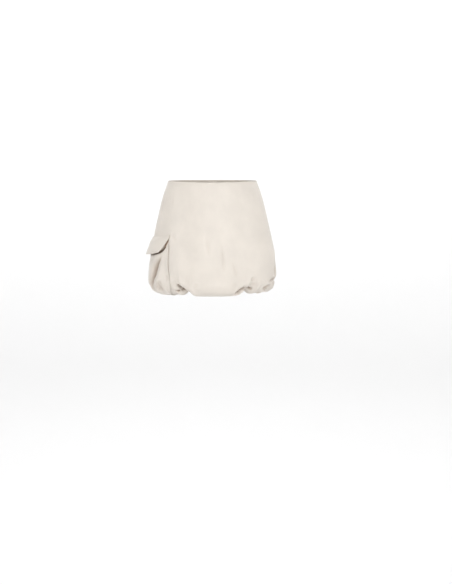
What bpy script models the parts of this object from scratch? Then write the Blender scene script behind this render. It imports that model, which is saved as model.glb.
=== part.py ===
"""Balloon mini skirt in satin, worn and open at waist and hem.

It has a front, two backs, a cargo pouch with a flap on the wearer's right hip, an inner band that
holds the turned-in hem, and a concealed zip at the centre back.

Metres, +Z up. The origin is the middle of the waist opening, level with its top edge. The front
faces -Y, and the wearer's right side, with the pocket, is at -X. An angle goes round the skirt
from the centre front, in degrees, towards +X. A station runs along the cloth from the waist:
0 to 1 down the body, 1 to 2 round the outside of the hem roll, 2 to 3 up its inside.
"""

import math
from collections import namedtuple

import bmesh
import bpy
from mathutils import Euler, Vector

# ---------------------------------------------------------------- driving sizes
WALL = 0.0014  # thickness of the satin wall
SEAM_GAP = 0.0004  # between two pieces that are sewn together
LYING_ON = 0.0006  # between a piece and the panel it lies on

BODY_DROP = 0.312  # waist edge down to the fullest ring
WAIST_DIP = 0.005  # the waist edge is this much lower at the centre front
HEM_RING_STEPS = 96
PANEL_STEP = 2.4  # degrees between a panel's columns, on average
GATHER_CROWDING = 1.7  # how much closer the columns are at a gather
ROLL_WIDTH = 0.040  # fullest ring in to the lowest point of the hem roll
ROLL_DROP = 0.047  # fullest ring down to that point
TURN_WIDTH = 0.008  # lowest point in to the gathered edge
TURN_RISE = 0.029  # lowest point up to the gathered edge
SQUARENESS = 2.15  # 2 is an ellipse, more is squarer

SIDE_SEAM = 87.0  # the side seams lie this far round
BACK_SEAM = 180.0

BAND_HEIGHT = 0.022
BAND_WALL = 0.0020

POCKET_MIDDLE = -80.0
POCKET_PRESS = 0.0150  # how far the skirt is pressed in behind the pocket
MOUTH_BELOW_FLAP = 0.013  # from the flap's top edge down to the pouch's mouth
POUCH_HEM_EASE = 0.0010  # more room between pouch and skirt where both are gathered
POUCH_MARGIN = 0.06  # share of the pouch's width sewn flat at each side
POUCH_CROWN = 0.34  # share of its width at which the pouch is fully puffed

FLAP_TOP_DROP = 0.177
FLAP_TILT = 0.016  # how much higher the front end of its top edge is than the back end
FLAP_LEVEL_SHARE = 0.62  # where across its width the top edge is at FLAP_TOP_DROP
FLAP_WALL = 0.0020
FLAP_SIDE_HEIGHT = 0.013
FLAP_CORNER_HEIGHT = 0.053
FLAP_HEIGHT = 0.058
FLAP_CORNER_SHARE = 0.17  # share of the flap's width taken by each cut corner
FLAP_OVERHANG = 0.8  # the flap is this much wider than the pouch at each end, in degrees
FLAP_STAND_OFF = 0.0130  # the flap's lower edge swings out this far at its middle

ZIP_TAPE_WIDTH = 0.022
ZIP_TAPE_WALL = 0.0010
ZIP_PIVOT_DROP = 0.0085
SLIDER_SIZE = (0.0052, 0.0022, 0.0076)
SLIDER_ROUNDING = 0.0005
BRIDGE_RADIUS = 0.0014
BRIDGE_WIRE = 0.00045
BRIDGE_ROOT = 0.0007  # the bridge's feet are sunk this far into the slider
PIVOT_CLEARANCE = 0.0006  # from the tab's wire axis, past the bridge's wire, to the slider's face
TAB_WIRE = 0.00055
TAB_EYE_WIDTH = 0.0026
TAB_EYE_LENGTH = 0.0042
TAB_LENGTH = 0.0210
TAB_WIDTH = 0.0046
TAB_WALL = 0.0012

Section = namedtuple("Section", "drop half_width half_depth back_shift")
SECTIONS = [
    Section(0.000, 0.1400, 0.1010, 0.002),
    Section(0.045, 0.1560, 0.1150, 0.005),
    Section(0.090, 0.1680, 0.1265, 0.008),
    Section(0.130, 0.1772, 0.1355, 0.010),
    Section(0.170, 0.1862, 0.1425, 0.011),
    Section(0.210, 0.1950, 0.1485, 0.011),
    Section(0.250, 0.2025, 0.1540, 0.010),
    Section(0.285, 0.2050, 0.1570, 0.010),
    Section(BODY_DROP, 0.2055, 0.1580, 0.010),
]

# Where the hem is drawn up between two puffs: lift raises its lowest line, pull draws it in,
# spread is how far the dent reaches round (degrees), lean turns the crease (degrees a metre up).
Gather = namedtuple("Gather", "angle lift pull spread lean")
GATHERS = [
    Gather(-34.0, 0.017, 0.014, 3.2, -170.0),
    Gather(-49.0, 0.006, 0.002, 2.6, 0.0),
    Gather(-64.0, 0.004, 0.003, 4.0, 0.0),
    Gather(-94.0, 0.005, 0.004, 4.0, 0.0),
    Gather(-109.0, 0.009, 0.008, 2.8, 90.0),
    Gather(-124.0, 0.014, 0.012, 3.4, -160.0),
    Gather(-141.0, 0.007, 0.007, 2.8, 60.0),
    Gather(-158.0, 0.017, 0.013, 3.6, 200.0),
    Gather(-172.0, 0.006, 0.005, 2.4, 0.0),
    Gather(166.0, 0.013, 0.011, 3.2, -180.0),
    Gather(148.0, 0.007, 0.006, 2.6, 40.0),
    Gather(133.0, 0.016, 0.013, 3.6, 240.0),
    Gather(116.0, 0.006, 0.006, 2.6, -60.0),
    Gather(102.0, 0.013, 0.011, 3.2, -120.0),
    Gather(91.0, 0.008, 0.006, 2.6, 0.0),
    Gather(75.0, 0.009, 0.008, 2.8, 60.0),
    Gather(69.0, 0.004, 0.001, 15.0, 0.0),
    Gather(59.0, 0.006, 0.006, 2.4, 0.0),
    Gather(44.5, 0.022, 0.016, 3.4, 40.0),
]

# Soft hanging folds of the body: top and end are drops, sway is how far round the fold drifts.
Drape = namedtuple("Drape", "angle sway top end depth spread")
DRAPES = [
    Drape(3.0, 4.0, 0.05, 0.300, 0.0020, 9.0),
    Drape(12.0, 34.0, 0.03, 0.318, 0.0024, 8.0),
    Drape(-22.0, -8.0, 0.10, 0.318, 0.0016, 8.0),
    Drape(66.0, 6.0, 0.12, 0.318, 0.0018, 8.0),
    Drape(112.0, 10.0, 0.08, 0.318, 0.0020, 9.0),
    Drape(150.0, -12.0, 0.10, 0.318, 0.0022, 9.0),
    Drape(-146.0, -12.0, 0.09, 0.318, 0.0022, 9.0),
    Drape(-118.0, 6.0, 0.12, 0.318, 0.0018, 8.0),
]

# The pouch from its mouth down: how far round its edges lie, and how far its middle puffs out.
PouchRow = namedtuple("PouchRow", "drop front back puff")
POUCH_ROWS = [
    PouchRow(0.165, -52.5, -106.0, 0.0035),
    PouchRow(0.190, -52.3, -106.5, 0.0050),
    PouchRow(0.218, -52.1, -107.0, 0.0085),
    PouchRow(0.243, -52.0, -108.0, 0.0095),
    PouchRow(0.268, -51.0, -109.0, 0.0110),
    PouchRow(0.302, -48.5, -111.5, 0.0115),
    PouchRow(0.330, -48.5, -111.5, 0.0115),
    PouchRow(0.348, -52.0, -108.5, 0.0070),
    PouchRow(0.359, -57.5, -104.0, 0.0005),
]

# Folds pressed into the pouch: shares go across from its front edge, top and end are drops.
PouchFold = namedtuple("PouchFold", "top_share end_share top end depth spread")
POUCH_FOLDS = [
    PouchFold(0.14, 0.44, 0.236, 0.346, 0.0105, 0.052),
    PouchFold(0.22, 0.22, 0.314, 0.352, 0.0040, 0.050),
    PouchFold(0.86, 0.66, 0.232, 0.340, 0.0070, 0.060),
]

PANEL_STATIONS = [0.0, 0.12, 0.27, 0.42, 0.55, 0.67, 0.79, 0.90, 1.0]
PANEL_STATIONS += [1.28, 1.52, 1.76, 2.0, 2.4, 3.0]
# The pouch's rows below its mouth lie on the panel's and halfway between them.
POUCH_STATIONS = [0.67, 0.73, 0.79, 0.845, 0.90, 0.95, 1.0, 1.14, 1.28, 1.40, 1.52, 1.64, 1.76, 1.88]
POUCH_STATIONS += [2.0, 2.2, 2.4, 2.7, 3.0]
TAPE_STATIONS = [0.015, 0.065, 0.12, 0.195, 0.27, 0.345, 0.42, 0.485, 0.55, 0.60]

# ---------------------------------------------------------------- small maths


def eased(value, low, high):
    """0 below low, 1 above high, and smooth between."""
    share = min(1.0, max(0.0, (value - low) / (high - low)))
    return share * share * (3.0 - 2.0 * share)


def mixed(low, high, share):
    """The value at a share of the way from low to high."""
    return low + (high - low) * share


def turn_between(angle, other):
    """The signed turn from other to angle, from -180 to 180 degrees."""
    return (angle - other + 180.0) % 360.0 - 180.0


def dent(distance, spread, softness=0.6):
    """A dent with a rounded bottom and long tails: 1 at its middle."""
    reach = distance / spread
    return math.exp(softness - math.hypot(reach, softness))


def through_rows(rows, drop):
    """The row at a drop, on a smooth curve through a table whose first column is the drop."""
    drop = min(max(drop, rows[0].drop), rows[-1].drop)
    after = next(i for i in range(1, len(rows)) if drop <= rows[i].drop)
    low, high = rows[after - 1], rows[after]
    before, beyond = rows[max(after - 2, 0)], rows[min(after + 1, len(rows) - 1)]
    step = high.drop - low.drop
    t = (drop - low.drop) / step
    values = []
    for a, p, q, b in zip(before, low, high, beyond):
        start = step * (q - a) / (high.drop - before.drop)
        finish = step * (b - p) / (beyond.drop - low.drop)
        values.append(
            p * (2 * t**3 - 3 * t**2 + 1)
            + start * (t**3 - 2 * t**2 + t)
            + q * (3 * t**2 - 2 * t**3)
            + finish * (t**3 - t**2)
        )
    return type(low)(*values)


# ---------------------------------------------------------------- the skirt's surface


def section_at(station):
    """Drop, half width, half depth and back shift of the smooth skirt at a station."""
    if station <= 1.0:
        return through_rows(SECTIONS, station * BODY_DROP)
    fullest = SECTIONS[-1]
    if station <= 2.0:
        turn = math.radians(90.0 * (station - 1.0))
        drop = BODY_DROP + ROLL_DROP * math.sin(turn)
        inset = ROLL_WIDTH * (1.0 - math.cos(turn))
    else:
        turn = math.radians(90.0 * (station - 2.0))
        drop = BODY_DROP + ROLL_DROP - TURN_RISE * (1.0 - math.cos(turn))
        inset = ROLL_WIDTH + TURN_WIDTH * math.sin(turn)
    return Section(drop, fullest.half_width - inset, fullest.half_depth - inset, fullest.back_shift)


def radius_of(section, angle):
    """How far the smooth section reaches from its own middle, at an angle."""
    across = abs(math.sin(math.radians(angle))) / section.half_width
    along = abs(math.cos(math.radians(angle))) / section.half_depth
    return (across**SQUARENESS + along**SQUARENESS) ** (-1.0 / SQUARENESS)


def gathered(angle, drop):
    """How far the hem's gathers lift and pull the cloth at an angle."""
    lift = pull = 0.0
    for row in GATHERS:
        above_hem = BODY_DROP + ROLL_DROP - drop
        middle = row.angle + row.lean * above_hem
        size = dent(turn_between(angle, middle), row.spread)
        lift += row.lift * size
        pull += row.pull * size
    return lift, pull


def draped(angle, drop):
    """The depth of the body's soft hanging folds."""
    depth = 0.0
    for row in DRAPES:
        share = (drop - row.top) / (row.end - row.top)
        middle = row.angle + row.sway * share
        reach = turn_between(angle, middle) / row.spread
        strength = eased(share, 0.0, 0.45) * (1.0 - eased(share, 1.0, 1.3))
        depth += row.depth * strength * math.exp(-reach * reach)
    return depth


def pocket_press(angle, drop):
    """The pouch's weight flattens the cloth behind it."""
    around = 1.0 - eased(abs(turn_between(angle, POCKET_MIDDLE)), 12.0, 44.0)
    return POCKET_PRESS * around * eased(drop, 0.160, 0.255)


def skirt_point(angle, station):
    """A point of the cloth's right side: outside on the body, underneath on the hem's roll."""
    section = section_at(station)
    toward_front = 0.5 + 0.5 * math.cos(math.radians(angle))
    dip = WAIST_DIP * toward_front**2 * (1.0 - eased(station, 0.0, 0.6))
    lift, pull = gathered(angle, section.drop)
    lift *= eased(station, 0.80, 1.9) * (1.0 - eased(station, 2.0, 3.0))
    pull *= eased(station, 0.86, 1.35) * (1.0 - 0.7 * eased(station, 1.4, 2.0))
    pull *= 1.0 - eased(station, 2.0, 3.0)
    inward = pull + draped(angle, section.drop) + pocket_press(angle, section.drop)
    inward *= 1.0 - eased(station, 2.2, 3.0)
    radius = radius_of(section, angle) - inward
    around = math.radians(angle)
    return Vector(
        (
            radius * math.sin(around),
            section.back_shift - radius * math.cos(around),
            lift - section.drop - dip,
        )
    )


def skirt_normal(angle, station):
    """The way the cloth's right side faces."""
    turn, step = 0.3, 0.004
    around = skirt_point(angle + turn, station) - skirt_point(angle - turn, station)
    low, high = max(station - step, 0.0), min(station + step, 3.0)
    along = skirt_point(angle, high) - skirt_point(angle, low)
    return along.cross(around).normalized()


def off_skirt(angle, station, distance):
    """A point this far off the panel's right side, whose rows are flat between PANEL_STATIONS."""
    after = next(i for i in range(1, len(PANEL_STATIONS)) if station <= PANEL_STATIONS[i])
    low, high = PANEL_STATIONS[after - 1], PANEL_STATIONS[after]
    share = (station - low) / (high - low)
    on_panel = skirt_point(angle, low).lerp(skirt_point(angle, high), share)
    return on_panel + skirt_normal(angle, station) * distance


# ---------------------------------------------------------------- making objects


def new_collection(name):
    collection = bpy.data.collections.new(name)
    bpy.context.scene.collection.children.link(collection)
    return collection


def new_material(name, colour, roughness, metallic=0.0):
    """A plain surface of one colour."""
    material = bpy.data.materials.new(name)
    material.use_nodes = True
    shader = material.node_tree.nodes["Principled BSDF"]
    shader.inputs["Base Color"].default_value = (*colour, 1.0)
    shader.inputs["Roughness"].default_value = roughness
    shader.inputs["Metallic"].default_value = metallic
    return material


def add_object(name, mesh, collection, material):
    piece = bpy.data.objects.new(name, mesh)
    collection.objects.link(piece)
    mesh.materials.append(material)
    mesh.shade_smooth()
    return piece


def sheet_mesh(name, columns, closed=False):
    """A surface through columns of points. It faces right where columns run down and go round to +X."""
    net = bmesh.new()
    rows = [[net.verts.new(point) for point in column] for column in columns]
    pairs = list(zip(rows, rows[1:])) + ([(rows[-1], rows[0])] if closed else [])
    for left, right in pairs:
        for i in range(len(left) - 1):
            net.faces.new((left[i], left[i + 1], right[i + 1], right[i]))
    mesh = bpy.data.meshes.new(name)
    net.to_mesh(mesh)
    net.free()
    return mesh


def give_wall(piece, thickness):
    """Thickens the cloth behind its right side."""
    wall = piece.modifiers.new("Wall", "SOLIDIFY")
    wall.thickness = thickness
    wall.offset = -1.0
    return piece


def angles_between(start, end, step):
    """Angles from start to end, closest together where the hem is gathered."""
    count = 800
    fine = [mixed(start, end, i / count) for i in range(count + 1)]
    crowding = []
    for angle in fine:
        near = sum(dent(turn_between(angle, row.angle), 3.0) for row in GATHERS)
        crowding.append(1.0 + GATHER_CROWDING * min(1.0, near))
    reached = [0.0]
    for low, high in zip(crowding, crowding[1:]):
        reached.append(reached[-1] + 0.5 * (low + high))
    columns = max(2, round(abs(end - start) / step))
    angles, place = [], 0
    for i in range(columns + 1):
        wanted = reached[-1] * i / columns
        while place < count and reached[place] < wanted:
            place += 1
        angles.append(fine[place])
    return angles


# ---------------------------------------------------------------- the pieces


def make_panel(name, start, end, collection, material):
    """One panel from the waist to the gathered edge, between two seams."""
    half_gap = math.degrees(0.5 * SEAM_GAP / SECTIONS[0].half_depth)
    angles = angles_between(start + half_gap, end - half_gap, PANEL_STEP)
    columns = [[skirt_point(angle, s) for s in PANEL_STATIONS] for angle in angles]
    piece = add_object(name, sheet_mesh(name, columns), collection, material)
    return give_wall(piece, WALL)


def make_hem_band(collection, material):
    """The inner band that the hem is gathered on, level all round."""
    gathered_edge = section_at(3.0)
    columns = []
    for i in range(HEM_RING_STEPS):
        angle = 360.0 * i / HEM_RING_STEPS - 180.0
        around = math.radians(angle)
        radius = radius_of(gathered_edge, angle)
        column = []
        for rise in (SEAM_GAP, BAND_HEIGHT):
            column.append(
                (
                    radius * math.sin(around),
                    gathered_edge.back_shift - radius * math.cos(around),
                    rise - gathered_edge.drop,
                )
            )
        columns.append(column)
    mesh = sheet_mesh("hem_band", columns, closed=True)
    return give_wall(add_object("hem_band", mesh, collection, material), BAND_WALL)


def pouch_row_at(station):
    """The pouch's edges and puff at a station, the same round the hem as at its lowest line."""
    return through_rows(POUCH_ROWS, section_at(min(station, 2.0)).drop)


def pouch_rise(share, station):
    """How far the pouch's outside stands off the skirt, at a share of its width from the front."""
    row = pouch_row_at(station)
    crown = eased(min(share, 1.0 - share), POUCH_MARGIN, POUCH_CROWN) ** 0.75
    rise = row.puff * (1.0 - eased(station, 2.0, 2.2))
    for fold in POUCH_FOLDS:
        along = (row.drop - fold.top) / (fold.end - fold.top)
        middle = mixed(fold.top_share, fold.end_share, along)
        strength = eased(along, -0.1, 0.45) * (1.0 - eased(along, 0.9, 1.25))
        reach = (share - middle) / fold.spread
        rise -= fold.depth * strength * math.exp(-reach * reach)
    over_gathers = POUCH_HEM_EASE * eased(station, 0.9, 1.3)
    return LYING_ON + WALL + over_gathers + crown * max(rise, 0.0)


def flap_top(share):
    """The drop of the flap's sewn top edge, at a share of its width from the front."""
    return FLAP_TOP_DROP + FLAP_TILT * (share - FLAP_LEVEL_SHARE)


def make_pouch(collection, material):
    """The puffed patch of the cargo pocket, open at its mouth and caught in the hem below."""
    shares = [0.0, 0.03, 0.06, 0.10, 0.14, 0.18, 0.22, 0.26, 0.30, 0.34, 0.38, 0.42, 0.46, 0.50]
    shares += [0.56, 0.62, 0.67, 0.72, 0.77, 0.82, 0.86, 0.90, 0.94, 0.97, 1.0]
    columns = []
    for share in reversed(shares):
        column = []
        mouth = (flap_top(share) + MOUTH_BELOW_FLAP) / BODY_DROP
        for station in [mouth, mixed(mouth, POUCH_STATIONS[0], 0.5)] + POUCH_STATIONS:
            row = pouch_row_at(station)
            angle = mixed(row.front, row.back, share)
            column.append(off_skirt(angle, station, pouch_rise(share, station)))
        columns.append(column)
    mesh = sheet_mesh("pocket_pouch", columns)
    return give_wall(add_object("pocket_pouch", mesh, collection, material), WALL)


def flap_height(share):
    """The flap's height at a share of its width: short sides, cut corners and a blunt point."""
    inside = min(share, 1.0 - share)
    if inside < FLAP_CORNER_SHARE:
        return mixed(FLAP_SIDE_HEIGHT, FLAP_CORNER_HEIGHT, inside / FLAP_CORNER_SHARE)
    reach = (inside - FLAP_CORNER_SHARE) / (0.5 - FLAP_CORNER_SHARE)
    return mixed(FLAP_CORNER_HEIGHT, FLAP_HEIGHT, math.sin(0.5 * math.pi * reach))


def flap_rise(share, angle, station):
    """The flap's outside clears the pouch and swings out towards its lower edge."""
    row = pouch_row_at(station)
    across = (angle - row.front) / (row.back - row.front)
    below = max(0.0, row.drop - flap_top(share)) / FLAP_HEIGHT
    swing = FLAP_STAND_OFF * below**1.6 * (0.55 + 0.45 * math.sin(math.pi * share))
    over_mouth = eased(row.drop - flap_top(share), 0.0, MOUTH_BELOW_FLAP)
    cleared = over_mouth * pouch_rise(min(1.0, max(0.0, across)), station)
    return LYING_ON + FLAP_WALL + cleared + swing


def make_flap(collection, material):
    """The pocket's flap, sewn along its top edge and standing off the pouch below."""
    shares = [0.0, 0.06, 0.12, FLAP_CORNER_SHARE, 0.25, 0.33, 0.41, 0.5]
    shares += [1.0 - share for share in reversed(shares[:-1])]
    rows = 8
    edge = POUCH_ROWS[0]
    columns = []
    for share in reversed(shares):
        column = []
        angle = mixed(edge.front + FLAP_OVERHANG, edge.back - FLAP_OVERHANG, share)
        for row in range(rows + 1):
            station = (flap_top(share) + flap_height(share) * row / rows) / BODY_DROP
            column.append(off_skirt(angle, station, flap_rise(share, angle, station)))
        columns.append(column)
    mesh = sheet_mesh("pocket_flap", columns)
    return give_wall(add_object("pocket_flap", mesh, collection, material), FLAP_WALL)


def make_zip_tape(collection, material):
    """The closed zip's two tapes, flat inside the centre back seam."""
    columns = []
    count = 6
    for i in range(count + 1):
        column = []
        for station in TAPE_STATIONS:
            sideways = mixed(-0.5, 0.5, i / count) * ZIP_TAPE_WIDTH
            angle = BACK_SEAM + math.degrees(sideways / section_at(station).half_depth)
            column.append(off_skirt(angle, station, -(WALL + LYING_ON)))
        columns.append(column)
    mesh = sheet_mesh("zip_tape", columns)
    return give_wall(add_object("zip_tape", mesh, collection, material), ZIP_TAPE_WALL)


def zip_mount(collection):
    """An empty on the tab's turning axis: its X runs along the axis, its Y faces away from the cloth."""
    mount = bpy.data.objects.new("zip_mount", None)
    collection.objects.link(mount)
    station = ZIP_PIVOT_DROP / BODY_DROP
    normal = skirt_normal(BACK_SEAM, station)
    stand = SEAM_GAP + SLIDER_SIZE[1] + BRIDGE_WIRE + PIVOT_CLEARANCE
    mount.location = off_skirt(BACK_SEAM, station, stand)
    mount.rotation_euler = Euler((math.atan2(normal.z, normal.y), 0.0, 0.0))
    return mount, stand


def as_mesh(name, curve_piece, collection, material):
    """A curve turned into a welded mesh object in its place."""
    bpy.context.view_layer.update()
    seen = curve_piece.evaluated_get(bpy.context.evaluated_depsgraph_get())
    mesh = bpy.data.meshes.new_from_object(seen)
    mesh.transform(curve_piece.matrix_local)
    net = bmesh.new()
    net.from_mesh(mesh)
    bmesh.ops.remove_doubles(net, verts=net.verts, dist=1e-6)
    net.to_mesh(mesh)
    net.free()
    bpy.data.objects.remove(curve_piece)
    mesh.materials.clear()
    return add_object(name, mesh, collection, material)


def wire_curve(points, radius, cyclic, collection):
    """A round wire along points."""
    curve = bpy.data.curves.new("wire", "CURVE")
    curve.dimensions = "3D"
    curve.bevel_depth = radius
    curve.bevel_resolution = 2
    curve.use_fill_caps = not cyclic
    spline = curve.splines.new("POLY")
    spline.points.add(len(points) - 1)
    for place, point in zip(spline.points, points):
        place.co = (*point, 1.0)
    spline.use_cyclic_u = cyclic
    wire = bpy.data.objects.new("wire", curve)
    collection.objects.link(wire)
    return wire


def join_solid(piece, other):
    """Joins another solid to a piece by a Boolean union and removes the other."""
    union = piece.modifiers.new("Join", "BOOLEAN")
    union.operation = "UNION"
    union.object = other
    bpy.context.view_layer.update()
    seen = piece.evaluated_get(bpy.context.evaluated_depsgraph_get())
    joined = bpy.data.meshes.new_from_object(seen)
    piece.modifiers.clear()
    piece.data = joined
    bpy.data.objects.remove(other)
    return piece


def make_slider(mount, stand, collection, material):
    """The zip's slider: a small rounded block with a wire bridge for the tab."""
    bpy.ops.mesh.primitive_cube_add(size=1.0)
    block = bpy.context.object
    block.data.transform(block.matrix_basis)
    face = SEAM_GAP + SLIDER_SIZE[1] - stand
    for corner in block.data.vertices:
        corner.co.x *= SLIDER_SIZE[0]
        corner.co.y = corner.co.y * SLIDER_SIZE[1] + face - 0.5 * SLIDER_SIZE[1]
        corner.co.z *= SLIDER_SIZE[2]
    bevel = block.modifiers.new("Rounding", "BEVEL")
    bevel.width = SLIDER_ROUNDING
    bevel.segments = 2
    bpy.context.view_layer.update()
    seen = block.evaluated_get(bpy.context.evaluated_depsgraph_get())
    slider = add_object("zip_slider", bpy.data.meshes.new_from_object(seen), collection, material)
    bpy.data.objects.remove(block)
    feet = face - BRIDGE_ROOT
    arch = [(0.0, feet, BRIDGE_RADIUS)]
    for step in range(9):
        turn = math.radians(90.0 - 22.5 * step)
        arch.append((0.0, BRIDGE_RADIUS * math.cos(turn), BRIDGE_RADIUS * math.sin(turn)))
    arch.append((0.0, feet, -BRIDGE_RADIUS))
    bridge = as_mesh("bridge", wire_curve(arch, BRIDGE_WIRE, False, collection), collection, material)
    join_solid(slider, bridge)
    slider.parent = mount
    return slider


def make_tab(mount, collection, material):
    """The pull tab: a wire eye through the bridge, and a flat drop below it."""
    half = 0.5 * TAB_EYE_WIDTH
    eye = [(-half, 0.0, 0.0), (half, 0.0, 0.0)]
    eye += [(half, 0.0, -TAB_EYE_LENGTH), (-half, 0.0, -TAB_EYE_LENGTH)]
    ring = as_mesh("ring", wire_curve(eye, TAB_WIRE, True, collection), collection, material)
    outline = bpy.data.curves.new("drop", "CURVE")
    outline.dimensions = "2D"
    outline.fill_mode = "BOTH"
    outline.extrude = 0.5 * TAB_WALL
    spline = outline.splines.new("POLY")
    points = []
    low = TAB_LENGTH - 0.5 * TAB_WIDTH
    high = TAB_EYE_LENGTH - TAB_WIRE
    for step in range(13):
        turn = math.radians(180.0 * step / 12)
        points.append((0.5 * TAB_WIDTH * math.cos(turn), low + 0.5 * TAB_WIDTH * math.sin(turn)))
    points += [(-half, high), (half, high)]
    spline.points.add(len(points) - 1)
    for place, (x, y) in zip(spline.points, points):
        place.co = (x, y, 0.0, 1.0)
    spline.use_cyclic_u = True
    flat = bpy.data.objects.new("drop", outline)
    collection.objects.link(flat)
    flat.rotation_euler = Euler((math.radians(-90.0), 0.0, 0.0))
    drop = as_mesh("drop", flat, collection, material)
    tab = join_solid(ring, drop)
    tab.name = "zip_pull_tab"
    tab.parent = mount
    return tab


def main():
    for old in list(bpy.data.objects):
        bpy.data.objects.remove(old)
    skirt = new_collection("balloon_mini_skirt")
    satin = new_material("champagne satin", (0.82, 0.76, 0.69), 0.42)
    band = new_material("hem band", (0.78, 0.72, 0.65), 0.60)
    tape = new_material("zip tape", (0.80, 0.74, 0.67), 0.75)
    metal = new_material("painted zip metal", (0.74, 0.68, 0.61), 0.35, 0.2)

    make_panel("front_panel", -SIDE_SEAM, SIDE_SEAM, skirt, satin)
    make_panel("back_panel_left", SIDE_SEAM, BACK_SEAM, skirt, satin)
    make_panel("back_panel_right", BACK_SEAM, 360.0 - SIDE_SEAM, skirt, satin)
    make_hem_band(skirt, band)
    make_pouch(skirt, satin)
    make_flap(skirt, satin)
    make_zip_tape(skirt, tape)
    mount, stand = zip_mount(skirt)
    make_slider(mount, stand, skirt, metal)
    make_tab(mount, skirt, metal)


main()
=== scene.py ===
"""A balloon mini skirt in champagne satin: a turned-in, gathered hem, a cargo pocket and a back zip.

Metres, +Z up, in the frame of the solid model. The front faces -Y and the pocket is at -X. An
angle goes round the skirt from the centre front, in degrees, towards +X. A station runs along the
cloth from the waist: 0 to 1 down the body, 1 to 2 round the outside of the hem roll, 2 to 3 up
its inside to the gathered edge.
"""

import math
import random
from collections import namedtuple

import bmesh
import bpy
import numpy as np
from bpy.props import FloatProperty, FloatVectorProperty, PointerProperty
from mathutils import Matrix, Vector


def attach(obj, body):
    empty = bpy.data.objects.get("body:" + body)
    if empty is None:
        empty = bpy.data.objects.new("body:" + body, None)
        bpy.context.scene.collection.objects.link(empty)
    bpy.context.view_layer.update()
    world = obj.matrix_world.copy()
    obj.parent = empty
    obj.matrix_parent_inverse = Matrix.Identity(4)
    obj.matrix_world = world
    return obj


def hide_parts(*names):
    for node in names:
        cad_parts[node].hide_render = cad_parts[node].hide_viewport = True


bl_info = {
    "name": "Balloon mini skirt",
    "version": (1, 0, 0),
    "blender": (4, 5, 0),
    "location": "3D Viewport > Sidebar > Skirt",
    "description": "Builds a satin balloon skirt over its solid model",
    "category": "Object",
}

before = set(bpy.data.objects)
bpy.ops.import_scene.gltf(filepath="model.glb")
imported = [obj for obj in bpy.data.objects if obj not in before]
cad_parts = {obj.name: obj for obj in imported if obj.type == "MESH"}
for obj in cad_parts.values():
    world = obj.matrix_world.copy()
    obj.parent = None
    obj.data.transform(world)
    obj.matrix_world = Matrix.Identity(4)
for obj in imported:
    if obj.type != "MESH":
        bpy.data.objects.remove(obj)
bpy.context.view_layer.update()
BODY = "skirt"

# ---------------------------------------------------------------- the skirt's own sizes
BODY_DROP = 0.312  # waist edge down to the fullest ring
WAIST_DIP = 0.005  # the waist edge is this much lower at the centre front
ROLL_WIDTH = 0.040  # fullest ring in to the lowest point of the hem roll
ROLL_DROP = 0.047
TURN_WIDTH = 0.008  # lowest point in to the gathered edge
TURN_RISE = 0.029
ROLL_LENGTH = 0.068  # along the cloth from the fullest ring to the lowest point
TURN_LENGTH = 0.031
SQUARENESS = 2.15  # of each ring, where 2 is an ellipse
SIDE_SEAM = 87.0
BACK_SEAM = 180.0
SEAM_DIP = 0.0009
SEAM_WIDTH = 0.0016
WAIST_STITCH_DROP = 0.0042
BAND_GAP = 0.0004  # gathered edge to the band's lower edge
BAND_HEIGHT = 0.022
BAND_STITCH_RISE = 0.003
POCKET_MIDDLE = -80.0
POCKET_PRESS = 0.015  # how far the pocket draws the body in
POUCH_WIDTH = 0.16
MOUTH_BELOW_FLAP = 0.013
FLAP_TOP_DROP = 0.177
FLAP_TILT = 0.016
FLAP_LEVEL_SHARE = 0.62
FLAP_SIDE_HEIGHT = 0.013
FLAP_CORNER_HEIGHT = 0.053
FLAP_HEIGHT = 0.058
FLAP_CORNER_SHARE = 0.17
FLAP_OVERHANG = 0.8
FLAP_STITCH_DROP = 0.0035
ZIP_LENGTH_STATION = 0.60
TAPE_MIDDLE, TAPE_WIDTH = 0.0006, 0.011  # a tape's two edges, from the centre back
TAPE_INSIDE = 0.002  # the tapes and the middle of the coil lie this far inside the satin
COIL_INSIDE = 0.0041
BAND_WALL = 0.0014
FLAP_WALL = 0.0018
TAPE_WALL = 0.0008
FLAT_RADIUS = 0.178  # turns degrees round the skirt into a length on the cloth
METRES_A_DEGREE = math.radians(1.0) * FLAT_RADIUS

# The painted shade deep in a fold, a warm dark colour that the cloth's own is multiplied by,
# the depth of trough that has all of it, and the share of it painted on the hem's underside.
FOLD_PAINTED_SHADE = (0.37, 0.225, 0.13)
FULL_FOLD = 0.021
HEM_PAINTED_SHADE = 0.22

# Where a crease's ridge and its leaning lip are, and how broad, in widths of its trough.
RIDGE_REACH, RIDGE_SPREAD = 2.3, 1.1
LIP_REACH, LIP_SPREAD = 1.5, 0.8

# The camera looks slightly down at a point below the skirt, and its picture is in rows of 3.2 mm.
VIEW_MIDDLE = (0.0429, 0.0, -0.3558)
VIEW_DISTANCE = 4.0
VIEW_RISE = 6.0
PICTURE_ROWS = 584
METRES_A_ROW = 0.0032
SENSOR = 36.0

FLOOR_RADIUS = 5.5
FLOOR_BEND = 1.2
WALL_HEIGHT = 7.0
WORLD_STRENGTH = 0.30

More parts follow.
